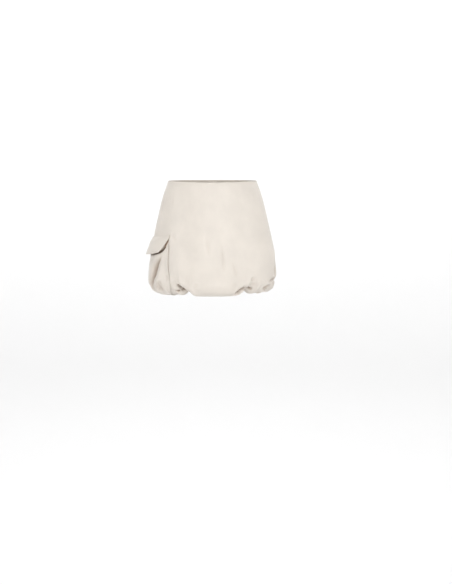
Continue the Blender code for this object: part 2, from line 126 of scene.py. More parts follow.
# The studio's soft lights: each one's power is a share of the key power.
SKIRT_MIDDLE = (0.0, 0.0, -0.18)
Light = namedtuple("Light", "name place aim width height share")
LIGHTS = [
    Light("key", (0.5, -3.3, 1.3), SKIRT_MIDDLE, 3.0, 1.8, 0.86),
    Light("low", (0.0, -3.3, -1.3), SKIRT_MIDDLE, 2.4, 1.2, 0.34),
    Light("fill_left", (-3.2, -1.7, 0.3), SKIRT_MIDDLE, 2.0, 2.4, 0.54),
    Light("fill_right", (3.2, -1.7, 0.3), SKIRT_MIDDLE, 2.0, 2.4, 0.50),
    Light("back_left", (-2.4, 2.9, 1.9), SKIRT_MIDDLE, 1.8, 2.0, 0.10),
    Light("back_right", (2.4, 2.9, 1.9), SKIRT_MIDDLE, 1.8, 2.0, 0.10),
    Light("backdrop", (0.0, 2.6, 3.4), (0.0, 5.2, -1.6), 6.0, 0.6, 4.3),
]

Section = namedtuple("Section", "drop half_width half_depth back_shift")
SECTIONS = [
    Section(0.000, 0.1400, 0.1010, 0.002),
    Section(0.045, 0.1560, 0.1150, 0.005),
    Section(0.090, 0.1680, 0.1265, 0.008),
    Section(0.130, 0.1772, 0.1355, 0.010),
    Section(0.170, 0.1862, 0.1425, 0.011),
    Section(0.210, 0.1950, 0.1485, 0.011),
    Section(0.250, 0.2025, 0.1540, 0.010),
    Section(0.285, 0.2050, 0.1570, 0.010),
    Section(BODY_DROP, 0.2055, 0.1580, 0.010),
]

# Where the hem is drawn up between two puffs. Lean is in degrees for each metre of drop.
Gather = namedtuple("Gather", "angle lift pull spread lean")
GATHERS = [
    Gather(-34.0, 0.017, 0.014, 3.2, -170.0),
    Gather(-49.0, 0.006, 0.002, 2.6, 0.0),
    Gather(-64.0, 0.004, 0.003, 4.0, 0.0),
    Gather(-94.0, 0.005, 0.004, 4.0, 0.0),
    Gather(-109.0, 0.009, 0.008, 2.8, 90.0),
    Gather(-124.0, 0.014, 0.012, 3.4, -160.0),
    Gather(-141.0, 0.007, 0.007, 2.8, 60.0),
    Gather(-158.0, 0.017, 0.013, 3.6, 200.0),
    Gather(-172.0, 0.006, 0.005, 2.4, 0.0),
    Gather(166.0, 0.013, 0.011, 3.2, -180.0),
    Gather(148.0, 0.007, 0.006, 2.6, 40.0),
    Gather(133.0, 0.016, 0.013, 3.6, 240.0),
    Gather(116.0, 0.006, 0.006, 2.6, -60.0),
    Gather(102.0, 0.013, 0.011, 3.2, -120.0),
    Gather(91.0, 0.008, 0.006, 2.6, 0.0),
    Gather(75.0, 0.009, 0.008, 2.8, 60.0),
    Gather(69.0, 0.004, 0.001, 15.0, 0.0),
    Gather(59.0, 0.006, 0.006, 2.4, 0.0),
    Gather(44.5, 0.022, 0.016, 3.4, 40.0),
]

# Soft hanging folds of the body.
Drape = namedtuple("Drape", "angle sway top end depth spread")
DRAPES = [
    Drape(3.0, 4.0, 0.05, 0.300, 0.0020, 9.0),
    Drape(12.0, 34.0, 0.03, 0.318, 0.0024, 8.0),
    Drape(-22.0, -8.0, 0.10, 0.318, 0.0016, 8.0),
    Drape(66.0, 6.0, 0.12, 0.318, 0.0018, 8.0),
    Drape(112.0, 10.0, 0.08, 0.318, 0.0020, 9.0),
    Drape(150.0, -12.0, 0.10, 0.318, 0.0022, 9.0),
    Drape(-146.0, -12.0, 0.09, 0.318, 0.0022, 9.0),
    Drape(-118.0, 6.0, 0.12, 0.318, 0.0018, 8.0),
]

# A crease runs along a path of (angle, station) points. Width and depth are its trough's. Ridge is
# the swelling beside it. Fade is the shares of its length over which it starts and ends. Lean is
# how far the swollen side is pushed over the trough: the side towards +X of a path that runs down.
Crease = namedtuple("Crease", "path width depth ridge fade lean", defaults=(0.0, (0.4, 0.4), 0.0))
FRONT_CREASES = [
    # the fold over the hem's left notch, the pit under it and the gathers beside the pocket
    Crease([(-42.2, 1.15), (-36.6, 1.29), (-32.4, 1.43),
            (-28.6, 1.57), (-25.6, 1.76), (-24.2, 1.92)],
           0.0082, 0.0230, 0.0030, (0.3, 0.08), 0.0040),
    Crease([(-40.0, 1.54), (-35.5, 1.57), (-31.5, 1.64), (-28.0, 1.76), (-26.0, 1.92)],
           0.0075, 0.0130, 0.0, (0.3, 0.1)),
    Crease([(-45.4, 1.46), (-42.2, 1.55), (-39.0, 1.58)], 0.0040, 0.0260, 0.0008, (0.6, 0.3)),
    Crease([(-47.2, 1.34), (-47.8, 1.80)], 0.0022, 0.0030, 0.0006, (0.4, 0.2)),
    Crease([(-44.6, 1.38), (-45.2, 1.85)], 0.0020, 0.0026, 0.0006, (0.4, 0.2)),
    # the arched fold over the right notch, and the hollow at its far end
    Crease([(28.8, 1.70), (30.4, 1.52), (32.8, 1.38), (35.8, 1.31),
            (39.4, 1.39), (43.4, 1.50), (48.6, 1.60)],
           0.0066, 0.0270, 0.0014, (0.06, 0.3), 0.0036),
    Crease([(42.0, 1.53), (50.0, 1.62)], 0.0085, 0.0080, 0.0, (0.3, 0.3)),
    # the pits in the right puff's underside
    Crease([(60.5, 1.40), (67.5, 1.43), (74.5, 1.46)], 0.0088, 0.0340, 0.0, (0.35, 0.35)),
    Crease([(62.8, 1.84), (68.0, 1.66), (75.0, 1.66)], 0.0024, 0.0080, 0.0006, (0.3, 0.3)),
    Crease([(60.4, 1.82), (65.4, 1.90)], 0.0024, 0.0110, 0.0, (0.3, 0.3)),
    # the right puff's upper fold, and the shaded cloth above it
    Crease([(103.0, 1.20), (94.0, 1.12), (86.9, 1.08), (79.0, 1.05), (71.0, 1.03), (61.0, 1.00)],
           0.0085, 0.0100, 0.0014, (0.4, 0.40), 0.0046),
    Crease([(96.0, 0.74), (88.0, 0.84), (82.0, 0.92), (75.0, 1.00)],
           0.0150, 0.0085, 0.0, (0.35, 0.35)),
    Crease([(88.0, 1.34), (80.0, 1.28), (72.0, 1.24)], 0.0055, 0.0030, 0.0008, (0.1, 0.6)),
    Crease([(43.0, 0.97), (48.5, 1.01)], 0.0085, 0.0030),
    # faint folds of the front
    Crease([(11.0, 0.60), (12.0, 0.76), (14.0, 0.93)], 0.0055, 0.0016, 0.0005),
    Crease([(-9.0, 0.52), (-3.0, 0.78)], 0.0070, 0.0013, 0.0003),
    Crease([(22.5, 0.78), (27.5, 0.97)], 0.0060, 0.0016, 0.0004),
    Crease([(-57.5, 0.15), (-55.0, 0.27)], 0.0034, 0.0010, 0.0002),
    Crease([(-49.0, 0.52), (-45.5, 0.57), (-41.5, 0.60)], 0.0045, 0.0018, 0.0004, (0.2, 0.5)),
    Crease([(-76.0, 0.10), (-70.0, 0.40)], 0.0060, 0.0012, 0.0008, (0.3, 0.4)),
    Crease([(28.0, 0.99), (24.5, 1.24), (25.0, 1.50)], 0.0080, 0.0014, 0.0004),
    Crease([(-17.0, 1.02), (-21.0, 1.30)], 0.0080, 0.0012, 0.0004),
    # the line down the pocket's front edge
    Crease([(-51.4, 0.62), (-51.7, 0.70), (-51.3, 0.80),
            (-49.6, 0.91), (-48.2, 0.99), (-47.6, 1.08)],
           0.0017, 0.0050, 0.0, (0.1, 0.3)),
]

# Where the pocket's folds and its flap press the cloth below them.
PRESSED = [
    Crease([(-60.0, 0.70), (-61.5, 0.75), (-64.1, 0.82), (-68.8, 0.94),
            (-73.9, 1.13), (-77.8, 1.31), (-80.0, 1.60)],
           0.0180, 0.0250, 0.0, (0.3, 0.2)),
    Crease([(-56.0, 0.64), (-60.0, 0.70), (-66.0, 0.725), (-73.0, 0.735), (-84.0, 0.745)],
           0.0070, 0.0260, 0.0, (0.25, 0.2)),
]

BACK_CREASES = [
    Crease([(95.0, 0.86), (99.5, 1.12), (102.5, 1.45), (103.0, 1.90)],
           0.0059, 0.0128, 0.0028, (0.5, 0.1), 0.0085),
    Crease([(109.0, 1.05), (107.0, 1.40), (106.5, 1.80)], 0.0040, 0.0054, 0.0010, (0.4, 0.1)),
    Crease([(124.0, 0.90), (119.0, 1.20), (116.5, 1.60)], 0.0055, 0.0049, 0.0012, (0.4, 0.1)),
    Crease([(143.0, 0.92), (137.5, 1.15), (133.5, 1.45), (132.5, 1.90)],
           0.0060, 0.0144, 0.0030, (0.4, 0.1), 0.0087),
    Crease([(128.0, 1.10), (129.5, 1.40), (129.0, 1.80)], 0.0037, 0.0061, 0.0010, (0.4, 0.1)),
    Crease([(152.0, 0.95), (149.0, 1.30), (148.5, 1.80)], 0.0048, 0.0051, 0.0012, (0.4, 0.1)),
    Crease([(158.0, 0.88), (163.0, 1.12), (165.5, 1.45), (166.5, 1.90)],
           0.0059, 0.0136, 0.0026, (0.4, 0.1), 0.0085),
    Crease([(171.0, 1.08), (170.5, 1.40), (171.5, 1.80)], 0.0037, 0.0054, 0.0010, (0.4, 0.1)),
    Crease([(-170.0, 0.98), (-171.5, 1.30), (-172.0, 1.80)], 0.0050, 0.0051, 0.0012, (0.4, 0.1)),
    Crease([(-149.0, 0.88), (-154.5, 1.12), (-157.5, 1.45), (-158.0, 1.90)],
           0.0062, 0.0144, 0.0030, (0.4, 0.1), 0.0090),
    Crease([(-163.0, 1.06), (-162.0, 1.40), (-162.5, 1.80)], 0.0037, 0.0057, 0.0010, (0.4, 0.1)),
    Crease([(-137.0, 0.94), (-140.0, 1.25), (-141.0, 1.75)], 0.0053, 0.0059, 0.0014, (0.4, 0.1)),
    Crease([(-131.0, 0.90), (-126.5, 1.16), (-124.0, 1.50), (-123.5, 1.90)],
           0.0059, 0.0136, 0.0026, (0.4, 0.1), 0.0085),
    Crease([(-119.0, 1.10), (-119.5, 1.40), (-120.0, 1.80)], 0.0037, 0.0057, 0.0010, (0.4, 0.1)),
    Crease([(133.0, 0.60), (129.0, 0.82)], 0.0075, 0.0014, 0.0004),
    Crease([(-152.0, 0.55), (-157.0, 0.80)], 0.0080, 0.0014, 0.0004),
    Crease([(164.0, 0.62), (160.0, 0.84)], 0.0070, 0.0012, 0.0004),
    Crease([(-133.0, 0.48), (-128.0, 0.74)], 0.0070, 0.0012, 0.0004),
    Crease([(98.0, 0.50), (103.0, 0.78)], 0.0075, 0.0014, 0.0004),
    Crease([(178.0, 0.62), (172.0, 0.70), (165.0, 0.72)], 0.0060, 0.0010, 0.0003, (0.2, 0.5)),
    Crease([(-178.0, 0.61), (-172.5, 0.66), (-167.0, 0.67)], 0.0055, 0.0009, 0.0003, (0.2, 0.5)),
]

# The pouch from its mouth down: how far round its edges lie, and how far its middle puffs out.
PouchRow = namedtuple("PouchRow", "drop front back puff")
POUCH_ROWS = [
    PouchRow(0.165, -52.5, -106.0, 0.0035),
    PouchRow(0.190, -52.3, -106.5, 0.0050),
    PouchRow(0.218, -52.1, -107.0, 0.0085),
    PouchRow(0.243, -52.0, -108.0, 0.0095),
    PouchRow(0.268, -51.0, -109.0, 0.0110),
    PouchRow(0.302, -48.5, -111.5, 0.0115),
    PouchRow(0.330, -48.5, -111.5, 0.0115),
    PouchRow(0.348, -52.0, -108.5, 0.0070),
    PouchRow(0.359, -57.5, -104.0, 0.0005),
]
PouchFold = namedtuple("PouchFold", "top_share end_share top end depth spread")
POUCH_FOLDS = [
    PouchFold(0.14, 0.44, 0.236, 0.346, 0.0105, 0.052),
    PouchFold(0.22, 0.22, 0.314, 0.352, 0.0040, 0.050),
    PouchFold(0.86, 0.66, 0.232, 0.340, 0.0070, 0.060),
]
POUCH_CREASES = [
    # the long fold down from under the flap
    Crease([(-61.0, 0.73), (-62.6, 0.77), (-65.6, 0.83), (-70.6, 0.95),
            (-75.8, 1.13), (-79.4, 1.30), (-80.6, 1.42)],
           0.0092, 0.0250, 0.0026, (0.45, 0.12), 0.0100),
    # the cloth drawn in under the flap's lower edge
    Crease([(-52.2, 0.590), (-54.4, 0.622), (-57.2, 0.655), (-60.6, 0.690),
            (-64.0, 0.710), (-69.0, 0.722), (-76.0, 0.735), (-84.0, 0.745)],
           0.0033, 0.0300, 0.0, (0.0, 0.2)),
    Crease([(-74.8, 0.79), (-78.6, 0.83)], 0.0040, 0.0014, 0.0004, (0.3, 0.4)),
    # the hollow triangle above the hem
    Crease([(-60.5, 1.02), (-63.0, 1.22), (-64.0, 1.50)], 0.0105, 0.0050, 0.0, (0.5, 0.2)),
    Crease([(-60.0, 0.99), (-65.0, 1.16), (-69.6, 1.36)],
           0.0028, 0.0034, 0.0012, (0.2, 0.3), 0.0014),
    Crease([(-59.9, 0.99), (-59.4, 1.22), (-58.8, 1.50)], 0.0028, 0.0026, 0.0008, (0.2, 0.3)),
    Crease([(-52.8, 0.93), (-51.4, 1.00)], 0.0044, 0.0024, 0.0, (0.3, 0.3)),
    Crease([(-53.6, 1.24), (-54.6, 1.70)], 0.0026, 0.0028, 0.0008, (0.4, 0.2)),
    Crease([(-100.0, 0.76), (-96.0, 0.92), (-91.5, 1.10), (-90.0, 1.50)],
           0.0060, 0.0070, 0.0022, (0.3, 0.2), -0.0030),
    Crease([(-84.0, 1.10), (-84.5, 1.35), (-84.0, 1.70)], 0.0045, 0.0040, 0.0012, (0.4, 0.2)),
    Crease([(-98.5, 1.15), (-98.0, 1.40), (-97.0, 1.70)], 0.0040, 0.0034, 0.0010, (0.4, 0.2)),
    Crease([(-105.0, 0.92), (-104.5, 1.15), (-103.0, 1.50)], 0.0038, 0.0030, 0.0010, (0.4, 0.2)),
]

# ---------------------------------------------------------------- small maths


def eased(value, low, high):
    """0 below low, 1 above high and a smooth rise between them."""
    share = np.clip((value - low) / (high - low), 0.0, 1.0)
    return share * share * (3.0 - 2.0 * share)


def mixed(low, high, share):
    return low + (high - low) * share


def bell(value, width=1.0):
    return np.exp(-((value / width) ** 2))


def dent(distance, spread, softness=0.6):
    """A peak of 1 that is rounder at its tip and longer in its tails than a bell."""
    return np.exp(softness - np.hypot(distance / spread, softness))


def from_edge(share):
    """How far a share of a width is from the nearer edge."""
    return np.minimum(share, 1.0 - share)


def turn_between(angle, other):
    return (angle - other + 180.0) % 360.0 - 180.0


def through_rows(rows, drop):
    """The columns of a table on smooth curves, at many drops."""
    table = np.array(rows)
    along = table[:, 0]
    drop = np.clip(drop, along[0], along[-1])
    high = np.clip(np.searchsorted(along, drop), 1, len(along) - 1)
    low = high - 1
    before, beyond = np.maximum(low - 1, 0), np.minimum(high + 1, len(along) - 1)
    step = along[high] - along[low]
    t = (drop - along[low]) / step
    values = []
    for column in table.T[1:]:
        start = step * (column[high] - column[before]) / (along[high] - along[before])
        finish = step * (column[beyond] - column[low]) / (along[beyond] - along[low])
        value = column[low] * (2 * t**3 - 3 * t**2 + 1) + start * (t**3 - 2 * t**2 + t)
        values.append(value + column[high] * (3 * t**2 - 2 * t**3) + finish * (t**3 - t**2))
    return values


# ---------------------------------------------------------------- the skirt's surface


def section_at(station):
    """The ring at a station: its drop, half width, half depth and shift to the back."""
    body = np.minimum(station, 1.0) * BODY_DROP
    half_width, half_depth, back_shift = through_rows(SECTIONS, body)
    roll = np.radians(90.0 * np.clip(station - 1.0, 0.0, 1.0))
    turn = np.radians(90.0 * np.clip(station - 2.0, 0.0, 1.0))
    drop = body + ROLL_DROP * np.sin(roll) - TURN_RISE * (1.0 - np.cos(turn))
    inset = ROLL_WIDTH * (1.0 - np.cos(roll)) + TURN_WIDTH * np.sin(turn)
    return drop, half_width - inset, half_depth - inset, back_shift


def radius_of(half_width, half_depth, angle):
    across = np.abs(np.sin(np.radians(angle))) / half_width
    along = np.abs(np.cos(np.radians(angle))) / half_depth
    return (across**SQUARENESS + along**SQUARENESS) ** (-1.0 / SQUARENESS)


def ring_point(angle, radius, back_shift, height):
    around = np.radians(angle)
    return np.stack(
        (radius * np.sin(around), back_shift - radius * np.cos(around), height), axis=-1
    )


def gathered(angle, drop):
    """How far the hem's gathers lift the cloth and pull it in."""
    lift = pull = 0.0
    for row in GATHERS:
        middle = row.angle + row.lean * (BODY_DROP + ROLL_DROP - drop)
        size = dent(turn_between(angle, middle), row.spread)
        lift = lift + row.lift * size
        pull = pull + row.pull * size
    return lift, pull


def draped(angle, drop):
    """How far in the body's hanging folds lie."""
    depth = 0.0
    for row in DRAPES:
        share = (drop - row.top) / (row.end - row.top)
        reach = turn_between(angle, row.angle + row.sway * share) / row.spread
        strength = eased(share, 0.0, 0.45) * (1.0 - eased(share, 1.0, 1.3))
        depth = depth + row.depth * strength * bell(reach)
    return depth


def pocket_press(angle, drop):
    full, none = 12.0, 44.0  # degrees from the pocket's middle
    start, end = 0.160, 0.255  # drops
    around = 1.0 - eased(np.abs(turn_between(angle, POCKET_MIDDLE)), full, none)
    return POCKET_PRESS * around * eased(drop, start, end)


def skirt_point(angle, station):
    """Points of the cloth's right side, before its creases."""
    drop, half_width, half_depth, back_shift = section_at(station)
    toward_front = 0.5 + 0.5 * np.cos(np.radians(angle))
    dip = WAIST_DIP * toward_front**2 * (1.0 - eased(station, 0.0, 0.6))
    still_round = 1.0 - eased(station, 2.0, 3.0)
    lift, pull = gathered(angle, drop)
    lift = lift * eased(station, 0.80, 1.9) * still_round
    pull = pull * eased(station, 0.86, 1.35) * (1.0 - 0.7 * eased(station, 1.4, 2.0)) * still_round
    inward = pull + draped(angle, drop) + pocket_press(angle, drop)
    inward = inward * (1.0 - eased(station, 2.2, 3.0))
    radius = radius_of(half_width, half_depth, angle) - inward
    return ring_point(angle, radius, back_shift, lift - drop - dip)


def skirt_normal(angle, station):
    turn, step = 0.3, 0.004
    around = skirt_point(angle + turn, station) - skirt_point(angle - turn, station)
    low, high = np.maximum(station - step, 0.0), np.minimum(station + step, 3.0)
    along = skirt_point(angle, high) - skirt_point(angle, low)
    normal = np.cross(along, around)
    return normal / np.linalg.norm(normal, axis=-1, keepdims=True)


def off_skirt(angle, station, off):
    """Points a distance off the cloth's right side, or inside it where that is negative."""
    return skirt_point(angle, station) + skirt_normal(angle, station) * np.asarray(off)[..., None]


def cloth_length(station):
    """How far down the cloth a station is, in metres."""
    length = BODY_DROP * np.minimum(station, 1.0)
    length = length + ROLL_LENGTH * np.clip(station - 1.0, 0.0, 1.0)
    return length + TURN_LENGTH * np.clip(station - 2.0, 0.0, 1.0)


def station_at(length):
    marks = [0.0, BODY_DROP, BODY_DROP + ROLL_LENGTH, BODY_DROP + ROLL_LENGTH + TURN_LENGTH]
    return np.interp(length, marks, [0.0, 1.0, 2.0, 3.0])


# ---------------------------------------------------------------- creases


def follow(path, angle, down):
    """Where points lie beside a path on the flat cloth.

    Returns how far off it they are, on which side, at which share of its length, and the two
    parts of the direction across it there.
    """
    first = path[0][0]
    turned = turn_between(angle, first) * METRES_A_DEGREE
    corners = [(turn_between(a, first) * METRES_A_DEGREE, float(cloth_length(s))) for a, s in path]
    spans = [math.dist(a, b) for a, b in zip(corners, corners[1:])]
    nearest = np.full(angle.shape, np.inf)
    side, share, across_x, across_y = (np.zeros_like(angle) for _ in range(4))
    done = 0.0
    for (x0, y0), (x1, y1), span in zip(corners, corners[1:], spans):
        ex, ey = (x1 - x0) / span, (y1 - y0) / span
        wx, wy = turned - x0, down - y0
        t = np.clip(wx * ex + wy * ey, 0.0, span)
        distance = np.hypot(wx - t * ex, wy - t * ey)
        closer = distance < nearest
        nearest = np.where(closer, distance, nearest)
        side = np.where(closer, np.sign(wx * ey - wy * ex), side)
        share = np.where(closer, (done + t) / sum(spans), share)
        across_x = np.where(closer, ey, across_x)
        across_y = np.where(closer, -ex, across_y)
        done += span
    return nearest, side, share, across_x, across_y


def creased(angle, station, creases):
    """How creases move the cloth: out along its normal, and the place its point is drawn from.

    The last value is how far down a fold each point is, 0 to 1, which sets the painted shade in the
    cloth's colour.
    """
    out, shift_round, shift_down, fold = (np.zeros_like(angle) for _ in range(4))
    down = cloth_length(station)
    for crease in creases:
        nearest, side, share, across_x, across_y = follow(crease.path, angle, down)
        start, end = crease.fade
        strength = np.ones_like(angle)
        if start:
            strength = strength * eased(share, 0.0, start)
        if end:
            strength = strength * (1.0 - eased(share, 1.0 - end, 1.0))
        # A crease is narrower where it fades.
        reach = nearest / (crease.width * (0.45 + 0.55 * strength))
        trough = strength * bell(reach)
        out -= crease.depth * trough
        # How deep in a fold a point is, which sets the painted shade multiplied into the cloth's
        # colour.
        fold = np.maximum(fold, min(1.0, crease.depth / FULL_FOLD) * trough)
        out += crease.ridge * strength * bell(side * reach - RIDGE_REACH, RIDGE_SPREAD)
        lip = strength * bell(side * reach - LIP_REACH, LIP_SPREAD)
        shift_round += crease.lean * lip * across_x / METRES_A_DEGREE
        shift_down += crease.lean * lip * across_y
    return out, shift_round, shift_down, fold


def hem_puckers():
    """Fine gathers where the cloth is drawn onto the hem band, uneven all round."""
    dice = random.Random(11)
    creases = []
    angle = -180.0
    while angle < 180.0:
        angle += dice.uniform(1.7, 4.3)
        top = dice.choice([2.35, 2.1, 1.9, 1.75, 1.55])
        drift = dice.uniform(-1.6, 1.6)
        width = dice.uniform(0.0016, 0.0028)
        depth = dice.uniform(0.0010, 0.0024)
        path = [(angle + drift, top), (angle, mixed(top, 3.0, 0.5)), (angle, 3.0)]
        creases.append(Crease(path, width, depth, depth * 0.4, (0.5, 0.0)))
    return creases


def gather_fans():
    """Soft creases that fan upwards from the drawn-up places in the hem.

    The faint and the broad gathers and those beside the pocket have none.
    """
    dice = random.Random(5)
    creases = []
    for row in GATHERS:
        if row.spread > 10.0 or row.lift < 0.006 or -70.0 < row.angle < -45.0:
            continue
        for turn in (-5.5, -2.6, 2.9, 6.0):
            angle = row.angle + turn * dice.uniform(0.8, 1.2)
            top = dice.uniform(0.86, 1.15)
            spread = turn * dice.uniform(0.5, 1.2)
            path = [(angle + spread, top), (angle + 0.3 * spread, 0.5 * (top + 1.6)), (angle, 1.95)]
            depth = dice.uniform(0.0007, 0.0018)
            width = dice.uniform(0.0035, 0.0055)
            creases.append(Crease(path, width, depth, depth * 0.5, (0.5, 0.2)))
    return creases


HEM_PUCKERS = hem_puckers()
SKIRT_CREASES = FRONT_CREASES + BACK_CREASES + PRESSED + HEM_PUCKERS + gather_fans()


# Painted shade on the hem roll's underside, darker as the cloth turns under, joined to the painted
# shade of the folds.
def with_hem_painted_shade(fold, station):
    return np.maximum(fold, HEM_PAINTED_SHADE * eased(station, 1.7, 2.1))


def cloth_point(angle, station, off=0.0):
    """Points of the creased cloth's right side, a distance off it, and the painted shade each gets,
    from how deep in a fold it is and on the hem's underside.
    """
    out, shift_round, shift_down, fold = creased(angle, station, SKIRT_CREASES)
    settle = eased(station, 0.0, 0.05) * (1.0 - eased(station, 2.7, 3.0))
    from_side, from_back = turn_between(np.abs(angle), SIDE_SEAM), turn_between(angle, BACK_SEAM)
    from_seam = np.minimum(np.abs(from_side), np.abs(from_back)) * METRES_A_DEGREE
    down = cloth_length(station)
    out = out * settle - SEAM_DIP * bell(from_seam, SEAM_WIDTH)
    # The waist's turned edge swells, and its stitches sink in.
    out = out + 0.0005 * bell(down - 0.0016, 0.0013)
    out = out - 0.0006 * bell(down - WAIST_STITCH_DROP, 0.0009)
    hold = settle * eased(from_seam, 0.0, 0.012)
    from_angle = angle - shift_round * hold
    from_station = station_at(down - shift_down * hold)
    return off_skirt(from_angle, from_station, out + off), with_hem_painted_shade(fold, station)


# ---------------------------------------------------------------- the pocket's surface


def pouch_edges(station):
    """The pouch at a station: its drop, its edges' angles and how far its middle puffs out."""
    drop = section_at(np.minimum(station, 2.0))[0]
    return [drop] + through_rows(POUCH_ROWS, drop)


def pouch_angle(share, station):
    _, front, back, _ = pouch_edges(station)
    return mixed(front, back, share)


def pouch_rise(share, station):
    """How far off the skirt the pouch stands, before its creases."""
    drop, _, _, puff = pouch_edges(station)
    crown = eased(from_edge(share), 0.06, 0.34) ** 0.75
    rise = puff * (1.0 - eased(station, 2.0, 2.2))
    for fold in POUCH_FOLDS:
        along = (drop - fold.top) / (fold.end - fold.top)
        middle = mixed(fold.top_share, fold.end_share, along)
        strength = eased(along, -0.1, 0.45) * (1.0 - eased(along, 0.9, 1.25))
        rise = rise - fold.depth * strength * bell(share - middle, fold.spread)
    return 0.0020 + 0.0010 * eased(station, 0.9, 1.3) + crown * np.maximum(rise, 0.0)


def pouch_point(share, station):
    """Points of the pouch's right side, and the painted shade each gets, from how deep in a fold it is
    and on the hem's underside.
    """
    _, front, back, _ = pouch_edges(station)
    angle = mixed(front, back, share)
    out, shift_round, shift_down, fold = creased(angle, station, POUCH_CREASES + HEM_PUCKERS)
    hold = eased(from_edge(share), 0.0, 0.03) * (1.0 - eased(station, 2.3, 3.0))
    # The stitched edges turn down onto the skirt.
    out = out * hold - 0.0006 * bell(from_edge(share) * POUCH_WIDTH, 0.0012)
    shifted = angle - shift_round * hold
    from_share = np.clip((shifted - front) / (back - front), 0.0, 1.0)
    from_station = station_at(cloth_length(station) - shift_down * hold)
    angle = pouch_angle(from_share, from_station)
    rise = pouch_rise(from_share, from_station)
    pressed = creased(angle, from_station, PRESSED)[0]
    rise = rise + np.maximum(out, 0.6 * (pressed - rise))
    return off_skirt(angle, from_station, rise), with_hem_painted_shade(fold, station)


def flap_top(share):
    return FLAP_TOP_DROP + FLAP_TILT * (share - FLAP_LEVEL_SHARE)


def flap_height(share):
    inside = from_edge(share)
    corner = mixed(FLAP_SIDE_HEIGHT, FLAP_CORNER_HEIGHT, inside / FLAP_CORNER_SHARE)
    reach = np.clip((inside - FLAP_CORNER_SHARE) / (0.5 - FLAP_CORNER_SHARE), 0.0, 1.0)
    point = mixed(FLAP_CORNER_HEIGHT, FLAP_HEIGHT, np.sin(0.5 * np.pi * reach))
    return np.where(inside < FLAP_CORNER_SHARE, corner, point)


def flap_point(share, down):
    """Points of the flap's outside, at a share of its width and of its height."""
    edge = POUCH_ROWS[0]
    angle = mixed(edge.front + FLAP_OVERHANG, edge.back - FLAP_OVERHANG, share)
    fallen = flap_height(share) * down
    drop = flap_top(share) + fallen
    station = drop / BODY_DROP
    _, front, back, _ = pouch_edges(station)
    across = np.clip((angle - front) / (back - front), 0.0, 1.0)
    below = fallen / FLAP_HEIGHT
    swing = 0.0130 * below**1.6 * (0.55 + 0.45 * np.sin(np.pi * share))
    cleared = eased(fallen, -0.002, 0.019) * pouch_rise(across, station)
    wave = 0.0009 * below * np.sin(2.0 * np.pi * (share * 1.6 + 0.1))
    sewn = -0.0007 * bell(fallen - FLAP_STITCH_DROP, 0.0012)
    return off_skirt(angle, station, 0.0026 + cleared + swing + wave + sewn)


# ---------------------------------------------------------------- making meshes


def added(name, data):
    """A new object of the scene, at the origin."""
    piece = bpy.data.objects.new(name, data)
    bpy.context.scene.collection.objects.link(piece)
    return piece


def sheet_object(name, points, places, closed=False, folds=None):
    """A mesh through a net of points, columns first, with its cloth places as its UV map.

    It faces right where columns run down and go round to +X.
    """
    columns, rows = points.shape[:2]
    net = bmesh.new()
    uv = net.loops.layers.uv.new("cloth")
    grid = [[net.verts.new(points[c, r]) for r in range(rows)] for c in range(columns)]
    for c in range(columns if closed else columns - 1):
        after = (c + 1) % columns
        for r in range(rows - 1):
            corners = ((c, r), (c, r + 1), (after, r + 1), (after, r))
            face = net.faces.new([grid[i][j] for i, j in corners])
            face.smooth = True
            for loop, (i, j) in zip(face.loops, corners):
                u, v = places[i, j]
                loop[uv].uv = (u + (2 * math.pi * FLAT_RADIUS if closed and i < c else 0.0), v)
    mesh = bpy.data.meshes.new(name)
    net.to_mesh(mesh)
    net.free()
    # How deep in a fold each point is, kept on the mesh for the painted shade in the cloth's colour.
    if folds is not None:
        mesh.attributes.new("fold", "FLOAT", "POINT").data.foreach_set("value", np.ravel(folds))
    return added(name, mesh)


def cloth_places(angle, station):
    return np.stack((np.radians(angle) * FLAT_RADIUS, -cloth_length(station)), axis=-1)


def finished(piece, material, thickness, wrong_side=None):
    """Gives a sheet its materials, the body it rides on and its wall."""
    piece.data.materials.append(material)
    if wrong_side:
        piece.data.materials.append(wrong_side)
    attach(piece, BODY)
    wall = piece.modifiers.new("Wall", "SOLIDIFY")
    wall.thickness = thickness
    wall.offset = -1.0
    wall.use_even_offset = False
    wall.material_offset = 1 if wrong_side else 0


def crowded(start, end, step):
    """Angles from start to end, closer together at the gathers and the seams."""
    at_gathers, at_seams = 1.6, 5.0  # columns there beside each usual one
    fine = np.linspace(start, end, 3000)
    crowding = np.ones_like(fine)
    for row in GATHERS:
        if row.spread < 10.0:
            crowding += at_gathers * dent(turn_between(fine, row.angle), 3.0)
    crowding = np.minimum(crowding, 1.0 + at_gathers)
    for seam in (start, end):
        crowding += at_seams * np.exp(-np.abs(fine - seam) / 0.6)
    reached = np.concatenate(([0.0], np.cumsum(0.5 * (crowding[1:] + crowding[:-1]))))
    count = max(2, round(abs(end - start) / step))
    return np.interp(np.linspace(0.0, reached[-1], count + 1), reached, fine)


# The stations of the panels' rows, closest together at the waist edge and round the hem.
BODY_ROWS = np.concatenate(
    (
        [0.0, 0.003, 0.006, 0.009, 0.012, 0.015, 0.018, 0.023, 0.030],
        np.linspace(0.045, 0.80, 36),
        np.linspace(0.81, 1.0, 24),
        np.linspace(1.017, 2.0, 60),
        np.linspace(2.06, 3.0, 14),
    )
)

# ---------------------------------------------------------------- nodes and materials


def fill_inputs(tree, node, inputs):
    """Sets each input of a node to a value, or links it to another node's output."""
    for name, value in inputs.items():
        if isinstance(value, bpy.types.NodeSocket):
            tree.links.new(value, node.inputs[name])
        else:
            node.inputs[name].default_value = value


def add_node(tree, kind, inputs=None, **settings):
    node = tree.nodes.new(kind)
    for name, value in settings.items():
        setattr(node, name, value)
    fill_inputs(tree, node, inputs or {})
    return node


